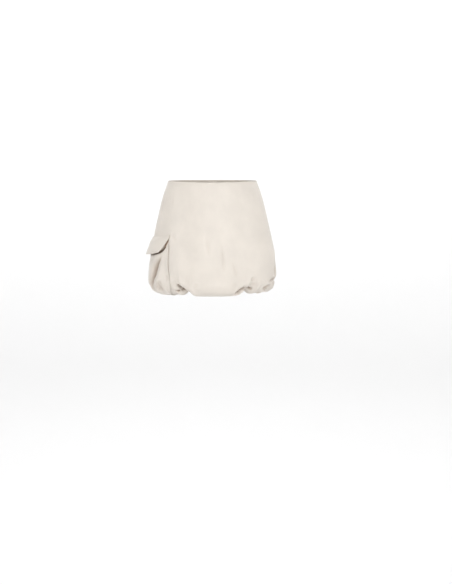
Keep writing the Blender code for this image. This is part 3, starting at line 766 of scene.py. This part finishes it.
def noise(tree, places, scale, detail=2.0, **settings):
    inputs = {"Vector": places, "Scale": scale, "Detail": detail}
    return add_node(tree, "ShaderNodeTexNoise", inputs, **settings).outputs["Fac"]


def ramp(tree, share, low, high, ends=(0.0, 1.0)):
    """A colour that goes from low to high between two ends of a share."""
    node = add_node(tree, "ShaderNodeValToRGB", {"Fac": share})
    for element, end, colour in zip(node.color_ramp.elements, ends, (low, high)):
        element.position = end
        element.color = (*colour, 1.0)
    return node.outputs["Color"]


def ranged(tree, value, low, high, ends=(0.0, 1.0)):
    """A value that goes from low to high between two ends of another."""
    inputs = {"Value": value, "From Min": ends[0], "From Max": ends[1], "To Min": low, "To Max": high}
    return add_node(tree, "ShaderNodeMapRange", inputs).outputs["Result"]


def multiplied(tree, share, colour, other):
    inputs = {"Factor": share, "A": colour, "B": other}
    node = add_node(tree, "ShaderNodeMix", inputs, data_type="RGBA", blend_type="MULTIPLY")
    return node.outputs["Result"]


def toned(colour, tone):
    return tuple(min(1.0, c * tone) for c in colour)


def new_material(name, colour, roughness, others=None):
    """A material of one plain shader, its node tree and the shader."""
    material = bpy.data.materials.new(name)
    material.use_nodes = True
    tree = material.node_tree
    shader = tree.nodes["Principled BSDF"]
    inputs = {"Base Color": (*colour, 1.0), "Roughness": roughness}
    fill_inputs(tree, shader, {**inputs, **(others or {})})
    return material, tree, shader


def cloth_material(name, colour, roughness, thread, weave_depth, sheen, anisotropy=0.0):
    """Woven cloth on the piece's own cloth map: fine threads, slight slubs, uneven tone, and painted
    shade down in its folds.
    """
    constants = {"Sheen Weight": sheen, "Sheen Roughness": 0.35, "Anisotropic": anisotropy}
    material, tree, shader = new_material(name, colour, roughness, constants)
    places = add_node(tree, "ShaderNodeUVMap", uv_map="cloth").outputs["UV"]
    patches = noise(tree, places, 16.0, 3.0, noise_dimensions="2D")
    shade = ramp(tree, patches, toned(colour, 0.965), toned(colour, 1.025), (0.30, 0.72))

    # Warp and weft are noise drawn out along the cloth and across it.
    threads = add_node(tree, "ShaderNodeMath", operation="ADD")
    for side, (across, along) in enumerate(((1.0, 0.07), (0.10, 1.0))):
        inputs = {"Vector": places, "Scale": (across / thread, along / thread, 1.0)}
        drawn = add_node(tree, "ShaderNodeMapping", inputs).outputs["Vector"]
        tree.links.new(noise(tree, drawn, 1.0, noise_dimensions="2D"), threads.inputs[side])
    weave = threads.outputs[0]
    ends = (0.6, 1.4)
    tinted = multiplied(tree, 1.0, shade, ranged(tree, weave, 0.965, 1.0, ends))

    # Painted shade: down in its folds the cloth's colour is multiplied towards a deeper, warmer tone,
    # as far as each point is down a fold.
    fold = add_node(tree, "ShaderNodeAttribute", attribute_name="fold").outputs["Fac"]
    bump = {"Strength": 0.35, "Distance": weave_depth, "Height": weave}
    surface = {
        "Base Color": multiplied(tree, fold, tinted, (*FOLD_PAINTED_SHADE, 1.0)),
        "Roughness": ranged(tree, weave, roughness - 0.04, roughness + 0.05, ends),
        "Normal": add_node(tree, "ShaderNodeBump", bump).outputs["Normal"],
    }
    fill_inputs(tree, shader, surface)
    return material


def painted_metal(name, colour):
    """Painted zip metal, a little worn and uneven."""
    constants = {"Metallic": 0.25, "Coat Weight": 0.3}
    material, tree, shader = new_material(name, colour, 0.32, constants)
    places = add_node(tree, "ShaderNodeTexCoord").outputs["Object"]
    mottle = noise(tree, places, 900.0, 3.0)
    surface = {
        "Base Color": ramp(tree, mottle, toned(colour, 0.93), colour),
        "Roughness": ranged(tree, mottle, 0.26, 0.42),
    }
    fill_inputs(tree, shader, surface)
    return material


def thread_material(name, colour):
    """Sewing thread: a twist along each stitch."""
    material, tree, shader = new_material(name, colour, 0.45, {"Sheen Weight": 0.2})
    twist = noise(tree, add_node(tree, "ShaderNodeTexCoord").outputs["Object"], 2500.0)
    fill_inputs(tree, shader, {"Base Color": ramp(tree, twist, toned(colour, 0.86), colour)})
    return material


def kept(name, make, *arguments):
    """A material made once and used by every piece that names it."""
    return bpy.data.materials.get(name) or make(name, *arguments)


def satin():
    colour = tuple(bpy.context.scene.skirt_cloth.satin_colour)
    return kept("champagne_satin", cloth_material, colour, 0.44, 0.00045, 0.00010, 0.12, 0.35)


def satin_back():
    colour = toned(bpy.context.scene.skirt_cloth.satin_colour, 0.94)
    return kept("satin_wrong_side", cloth_material, colour, 0.66, 0.00050, 0.00012, 0.05)


def band_cloth():
    colour = toned(bpy.context.scene.skirt_cloth.satin_colour, 0.95)
    return kept("hem_band_cloth", cloth_material, colour, 0.62, 0.00055, 0.00014, 0.10)


def tape_cloth():
    colour = toned(bpy.context.scene.skirt_cloth.satin_colour, 0.93)
    return kept("zip_tape_cloth", cloth_material, colour, 0.72, 0.00070, 0.00022, 0.05)


def zip_paint():
    return kept("painted_zip_metal", painted_metal, (0.70, 0.66, 0.60))


def thread():
    return kept("champagne_thread", thread_material, tuple(bpy.context.scene.skirt_cloth.thread_colour))


def studio_paint(colour):
    return new_material("pale_studio_paint", colour, 0.9)[0]


# ---------------------------------------------------------------- stitches and coil

Stitch = namedtuple("Stitch", "pitch length width height")
STITCH_INPUTS = ("Pitch", "Stitch length", "Stitch width", "Stitch height")
SEWN = Stitch(0.0026, 0.0019, 0.00045, 0.00035)
COIL = Stitch(0.0013, 0.0009, 0.0042, 0.0016)


def socket_id(tree, name):
    """The identifier of a node tree's input, by which a modifier sets it."""
    for item in tree.interface.items_tree:
        if item.item_type == "SOCKET" and item.in_out == "INPUT" and item.name == name:
            return item.identifier
    raise RuntimeError(f"{tree.name} has no input named {name}")


def stitch_tree():
    """Small rounded stitches in a row along a line."""
    tree = bpy.data.node_groups.get("Stitch row")
    if tree:
        return tree
    tree = bpy.data.node_groups.new("Stitch row", "GeometryNodeTree")
    face = tree.interface
    face.new_socket("Geometry", in_out="INPUT", socket_type="NodeSocketGeometry")
    for name, value in zip(STITCH_INPUTS, SEWN):
        face.new_socket(name, in_out="INPUT", socket_type="NodeSocketFloat").default_value = value
    face.new_socket("Material", in_out="INPUT", socket_type="NodeSocketMaterial")
    face.new_socket("Geometry", in_out="OUTPUT", socket_type="NodeSocketGeometry")

    given = add_node(tree, "NodeGroupInput").outputs
    line = {"Curve": given["Geometry"], "Length": given["Pitch"]}
    points = add_node(tree, "GeometryNodeCurveToPoints", line, mode="LENGTH").outputs
    bead = add_node(tree, "GeometryNodeMeshIcoSphere", {"Radius": 0.5, "Subdivisions": 1})
    size = add_node(tree, "ShaderNodeCombineXYZ", {
        "X": given["Stitch height"], "Y": given["Stitch width"], "Z": given["Stitch length"],
    })
    place = add_node(tree, "GeometryNodeInstanceOnPoints", {
        "Points": points["Points"], "Instance": bead.outputs["Mesh"],
        "Rotation": points["Rotation"], "Scale": size.outputs["Vector"],
    })
    row = place.outputs["Instances"]
    for kind in ("GeometryNodeRealizeInstances", "GeometryNodeSetShadeSmooth"):
        row = add_node(tree, kind, {"Geometry": row}).outputs["Geometry"]
    painted = {"Geometry": row, "Material": given["Material"]}
    row = add_node(tree, "GeometryNodeSetMaterial", painted).outputs["Geometry"]
    add_node(tree, "NodeGroupOutput", {"Geometry": row})
    return tree


def stitched(name, lines, stitch):
    """Rows of stitches along lines of points, as one plain mesh."""
    curve = bpy.data.curves.new(name + "_line", "CURVE")
    curve.dimensions = "3D"
    for line in lines:
        spline = curve.splines.new("POLY")
        spline.points.add(len(line) - 1)
        for knot, place in zip(spline.points, line):
            knot.co = (*place, 1.0)
    guide = added(name + "_line", curve)
    row = guide.modifiers.new("Stitches", "NODES")
    row.node_group = stitch_tree()
    for socket, value in {**dict(zip(STITCH_INPUTS, stitch)), "Material": thread()}.items():
        row[socket_id(row.node_group, socket)] = value
    bpy.context.view_layer.update()
    seen = guide.evaluated_get(bpy.context.evaluated_depsgraph_get())
    mesh = bpy.data.meshes.new_from_object(seen)
    bpy.data.objects.remove(guide)
    if not mesh.polygons:
        raise RuntimeError(f"{name} has no stitches")
    mesh.name = name
    piece = added(name, mesh)
    if not mesh.materials:
        mesh.materials.append(thread())
    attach(piece, BODY)
    return piece


# ---------------------------------------------------------------- settings


class SkirtCloth(bpy.types.PropertyGroup):
    """Sizes and colours of the skirt's cloth."""

    satin_colour: FloatVectorProperty(
        name="Satin colour", description="Colour of the satin's right side",
        default=(0.73, 0.674, 0.608), min=0.0, max=1.0, size=3, subtype="COLOR",
    )
    thread_colour: FloatVectorProperty(
        name="Thread colour", description="Colour of the sewing thread",
        default=(0.74, 0.69, 0.62), min=0.0, max=1.0, size=3, subtype="COLOR",
    )
    wall: FloatProperty(
        name="Cloth thickness", description="Thickness of the single satin",
        default=0.0009, min=0.0002, max=0.0014, unit="LENGTH",
    )
    column_step: FloatProperty(
        name="Column step", description="Degrees between two columns of a panel's mesh",
        default=0.62, min=0.4, max=3.0,
    )


class SkirtStitching(bpy.types.PropertyGroup):
    """Sizes of the stitching."""

    pitch: FloatProperty(
        name="Stitch pitch", description="From one stitch to the next",
        default=SEWN.pitch, min=0.0015, max=0.006, unit="LENGTH",
    )
    stitch: FloatProperty(
        name="Stitch length", description="Length of the thread that shows",
        default=SEWN.length, min=0.001, max=0.005, unit="LENGTH",
    )


class SkirtStage(bpy.types.PropertyGroup):
    """The plain studio round the skirt."""

    floor_drop: FloatProperty(
        name="Floor drop", description="Waist edge down to the floor",
        default=2.7, min=0.4, max=4.0, unit="LENGTH",
    )
    floor_colour: FloatVectorProperty(
        name="Floor colour", description="Colour of the floor and the backdrop",
        default=(0.76, 0.76, 0.76), min=0.0, max=1.0, size=3, subtype="COLOR",
    )
    key_power: FloatProperty(
        name="Key light", description="Power of the large front light",
        default=61.0, min=0.0, max=2000.0, unit="POWER",
    )


# ---------------------------------------------------------------- operators


def panel(name, node, start, end):
    """One creased panel from the waist to the gathered edge."""
    cloth = bpy.context.scene.skirt_cloth
    angle, station = np.meshgrid(crowded(start, end, cloth.column_step), BODY_ROWS, indexing="ij")
    points, folds = cloth_point(angle, station)
    piece = sheet_object(name, points, cloth_places(angle, station), folds=folds)
    finished(piece, satin(), cloth.wall, satin_back())
    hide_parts(node)


class SKIRT_OT_panels(bpy.types.Operator):
    """Builds the front panel and the two back panels"""

    bl_idname = "skirt.panels"
    bl_label = "Panels"

    def execute(self, context):
        last = 360.0 - SIDE_SEAM
        panel("front_satin", "front_panel", -SIDE_SEAM, SIDE_SEAM)
        panel("back_satin_left", "back_panel_left", SIDE_SEAM, BACK_SEAM)
        panel("back_satin_right", "back_panel_right", BACK_SEAM, last)
        return {"FINISHED"}


def band_point(angle, rise, off):
    """Points of the hem band, at heights above the gathered edge and distances off its plain ring."""
    drop, half_width, half_depth, back_shift = section_at(np.full_like(angle, 3.0))
    radius = radius_of(half_width, half_depth, angle) + off
    return ring_point(angle, radius, back_shift, rise - drop)


class SKIRT_OT_hem_band(bpy.types.Operator):
    """Builds the inner band that holds the gathered hem"""

    bl_idname = "skirt.hem_band"
    bl_label = "Hem band"

    def execute(self, context):
        angles = np.arange(-180.0, 180.0, 1.5)
        rises = [BAND_GAP, 0.0015, 0.003, 0.006, 0.010, 0.014, 0.018, 0.0205, BAND_HEIGHT]
        angle, rise = np.meshgrid(angles, rises, indexing="ij")
        gathers = np.sin(np.radians(angle * 41.0) + 1.3 * np.sin(np.radians(angle * 7.0)))
        off = 0.0005 * gathers * np.exp(-rise / 0.008)
        off = off - 0.0004 * bell(rise - BAND_STITCH_RISE, 0.0008)
        places = np.stack((np.radians(angle) * FLAT_RADIUS, rise), axis=-1)
        piece = sheet_object("hem_band_cloth", band_point(angle, rise, off), places, closed=True)
        finished(piece, band_cloth(), BAND_WALL)
        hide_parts("hem_band")
        return {"FINISHED"}


class SKIRT_OT_pouch(bpy.types.Operator):
    """Builds the puffed pouch of the cargo pocket"""

    bl_idname = "skirt.pouch"
    bl_label = "Pocket pouch"

    def execute(self, context):
        beside_edges = [0.003, 0.006, 0.012, 0.988, 0.994, 0.997]
        shares = np.sort(np.concatenate((np.linspace(0.0, 1.0, 111), beside_edges)))[::-1]
        share, row = np.meshgrid(shares, np.linspace(0.0, 1.0, 140), indexing="ij")
        mouth = (flap_top(share) + MOUTH_BELOW_FLAP) / BODY_DROP
        station = station_at(mixed(cloth_length(mouth), cloth_length(3.0), row))
        points, folds = pouch_point(share, station)
        places = cloth_places(pouch_angle(share, station), station)
        piece = sheet_object("pouch_satin", points, places, folds=folds)
        finished(piece, satin(), context.scene.skirt_cloth.wall, satin_back())
        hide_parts("pocket_pouch")
        return {"FINISHED"}


class SKIRT_OT_flap(bpy.types.Operator):
    """Builds the pocket's double flap"""

    bl_idname = "skirt.flap"
    bl_label = "Pocket flap"

    def execute(self, context):
        side = np.linspace(0.0, FLAP_CORNER_SHARE, 15)
        middle = np.linspace(FLAP_CORNER_SHARE, 1.0 - FLAP_CORNER_SHARE, 55)[1:-1]
        shares = np.concatenate((side, middle, 1.0 - side[::-1]))[::-1]
        rows = np.linspace(0.14, 0.95, 20)
        downs = np.concatenate(([0.0, 0.02, 0.045, 0.07, 0.10], rows, [0.975, 1.0]))
        share, down = np.meshgrid(shares, downs, indexing="ij")
        edge = POUCH_ROWS[0]
        station = (flap_top(share) + flap_height(share) * down) / BODY_DROP
        places = cloth_places(mixed(edge.front, edge.back, share), station)
        piece = sheet_object("flap_satin", flap_point(share, down), places)
        finished(piece, satin(), FLAP_WALL)
        round_edge = piece.modifiers.new("Turned edge", "BEVEL")
        round_edge.width = 0.0006
        round_edge.segments = 2
        round_edge.limit_method = "ANGLE"
        round_edge.angle_limit = math.radians(50.0)
        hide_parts("pocket_flap")
        return {"FINISHED"}


class SKIRT_OT_zip(bpy.types.Operator):
    """Builds the concealed zip's tapes and coil and paints its slider"""

    bl_idname = "skirt.zip"
    bl_label = "Back zip"

    def execute(self, context):
        half = np.linspace(TAPE_MIDDLE, TAPE_WIDTH, 8)
        sides = np.concatenate((-half[::-1], half))
        stations = np.linspace(0.015, ZIP_LENGTH_STATION, 60)
        side, station = np.meshgrid(sides, stations, indexing="ij")
        angle = BACK_SEAM + np.degrees(side / section_at(station)[2])
        points = off_skirt(angle, station, -(TAPE_INSIDE + 0.0008 * bell(side, 0.0020)))
        places = np.stack((side, -cloth_length(station)), axis=-1)
        piece = sheet_object("zip_tapes", points, places)
        finished(piece, tape_cloth(), TAPE_WALL)
        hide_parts("zip_tape")
        station = np.linspace(0.03, ZIP_LENGTH_STATION - 0.01, 200)
        line = off_skirt(np.full_like(station, BACK_SEAM), station, -COIL_INSIDE)
        coil = stitched("zip_coil", [line], COIL)
        for node in ("zip_slider", "zip_pull_tab"):
            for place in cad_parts[node].material_slots:
                place.material = zip_paint()
        return {"FINISHED"}


class SKIRT_OT_stitching(bpy.types.Operator):
    """Sews the waist edge, the pocket and the hem band"""

    bl_idname = "skirt.stitching"
    bl_label = "Stitching"

    def execute(self, context):
        sizes = context.scene.skirt_stitching
        sewn = SEWN._replace(pitch=sizes.pitch, length=sizes.stitch)
        around = np.linspace(-180.0, 180.0, 721)
        edge = np.full_like(around, WAIST_STITCH_DROP / BODY_DROP)
        stitched("waist_stitches", [cloth_point(around, edge, off=0.0001)[0]], sewn)
        station = np.linspace(0.60, 1.9, 200)
        rows = [pouch_point(np.full_like(station, share), station)[0] for share in (0.013, 0.987)]
        stitched("pouch_stitches", rows, sewn)
        share = np.linspace(0.015, 0.985, 200)
        row = flap_point(share, FLAP_STITCH_DROP / flap_height(share))
        stitched("flap_stitches", [row], sewn)
        stitched("band_stitches", [band_point(around, BAND_STITCH_RISE, -0.0002)], sewn)
        return {"FINISHED"}


def area_light(light, key_power):
    data = bpy.data.lights.new(light.name, "AREA")
    data.shape = "RECTANGLE"
    data.size, data.size_y = light.width, light.height
    data.energy = light.share * key_power
    lamp = added(light.name, data)
    lamp.location = light.place
    away = Vector(light.place) - Vector(light.aim)
    lamp.rotation_euler = away.to_track_quat("Z", "Y").to_euler()


def studio_floor(stage):
    """A round floor that bends up into a wall all round."""
    profile = [(FLOOR_RADIUS - FLOOR_BEND, 0.0)]
    for step in range(1, 13):
        turn = math.radians(90.0 * step / 12)
        reach = FLOOR_RADIUS - FLOOR_BEND + FLOOR_BEND * math.sin(turn)
        profile.append((reach, FLOOR_BEND - FLOOR_BEND * math.cos(turn)))
    profile.append((FLOOR_RADIUS, WALL_HEIGHT))
    turns = np.radians(np.arange(0.0, 360.0, 3.0))
    net = bmesh.new()
    centre = net.verts.new((0.0, 0.0, -stage.floor_drop))
    rings = []
    for reach, rise in profile:
        ring = [(reach * math.cos(turn), reach * math.sin(turn)) for turn in turns]
        rings.append([net.verts.new((x, y, rise - stage.floor_drop)) for x, y in ring])
    for i in range(len(turns)):
        after = (i + 1) % len(turns)
        net.faces.new((centre, rings[0][i], rings[0][after]))
        for low, high in zip(rings, rings[1:]):
            net.faces.new((low[i], high[i], high[after], low[after]))
    for face in net.faces:
        face.smooth = True
    mesh = bpy.data.meshes.new("studio_floor")
    net.to_mesh(mesh)
    net.free()
    mesh.materials.append(studio_paint(tuple(stage.floor_colour)))
    added("studio_floor", mesh)


def studio_world():
    world = bpy.data.worlds.new("studio_light")
    world.use_nodes = True
    sky = {"Color": (1.0, 1.0, 1.0, 1.0), "Strength": WORLD_STRENGTH}
    fill_inputs(world.node_tree, world.node_tree.nodes["Background"], sky)
    return world


def studio_camera():
    """A camera that looks slightly down at a point below the skirt's middle."""
    camera = bpy.data.cameras.new("camera")
    camera.lens = SENSOR * VIEW_DISTANCE / (PICTURE_ROWS * METRES_A_ROW)
    camera.clip_end = 100.0
    view = added("camera", camera)
    rise = math.radians(VIEW_RISE)
    away = Vector((0.0, -math.cos(rise), math.sin(rise)))
    view.location = Vector(VIEW_MIDDLE) + away * VIEW_DISTANCE
    view.rotation_euler = away.to_track_quat("Z", "Y").to_euler()
    return view


class SKIRT_OT_stage(bpy.types.Operator):
    """Sets up the pale studio, its soft lights and the camera"""

    bl_idname = "skirt.stage"
    bl_label = "Stage"

    def execute(self, context):
        scene = context.scene
        studio_floor(scene.skirt_stage)
        for light in LIGHTS:
            area_light(light, scene.skirt_stage.key_power)
        scene.world = studio_world()
        scene.view_settings.view_transform = "Standard"
        scene.camera = studio_camera()
        return {"FINISHED"}


class SKIRT_PT_sidebar(bpy.types.Panel):
    """Lists the skirt's pieces and settings"""

    bl_label = "Skirt"
    bl_idname = "SKIRT_PT_sidebar"
    bl_space_type = "VIEW_3D"
    bl_region_type = "UI"
    bl_category = "Skirt"

    def draw(self, context):
        layout = self.layout
        for group in ("skirt_cloth", "skirt_stitching", "skirt_stage"):
            settings = getattr(context.scene, group)
            box = layout.box()
            for name in settings.bl_rna.properties.keys():
                if name not in ("rna_type", "name"):
                    box.prop(settings, name)
        for operator in OPERATORS:
            layout.operator(operator.bl_idname)


OPERATORS = (
    SKIRT_OT_stage,
    SKIRT_OT_panels,
    SKIRT_OT_hem_band,
    SKIRT_OT_pouch,
    SKIRT_OT_flap,
    SKIRT_OT_zip,
    SKIRT_OT_stitching,
)
GROUPS = (("skirt_cloth", SkirtCloth), ("skirt_stitching", SkirtStitching), ("skirt_stage", SkirtStage))


def register():
    for name, group in GROUPS:
        bpy.utils.register_class(group)
        setattr(bpy.types.Scene, name, PointerProperty(type=group))
    for operator in OPERATORS:
        bpy.utils.register_class(operator)
    bpy.utils.register_class(SKIRT_PT_sidebar)


def unregister():
    bpy.utils.unregister_class(SKIRT_PT_sidebar)
    for operator in reversed(OPERATORS):
        bpy.utils.unregister_class(operator)
    for name, group in reversed(GROUPS):
        delattr(bpy.types.Scene, name)
        bpy.utils.unregister_class(group)


def main():
    register()
    bpy.ops.skirt.stage()
    bpy.ops.skirt.panels()
    bpy.ops.skirt.hem_band()
    bpy.ops.skirt.pouch()
    bpy.ops.skirt.flap()
    bpy.ops.skirt.zip()
    bpy.ops.skirt.stitching()


if __name__ == "__main__":
    main()
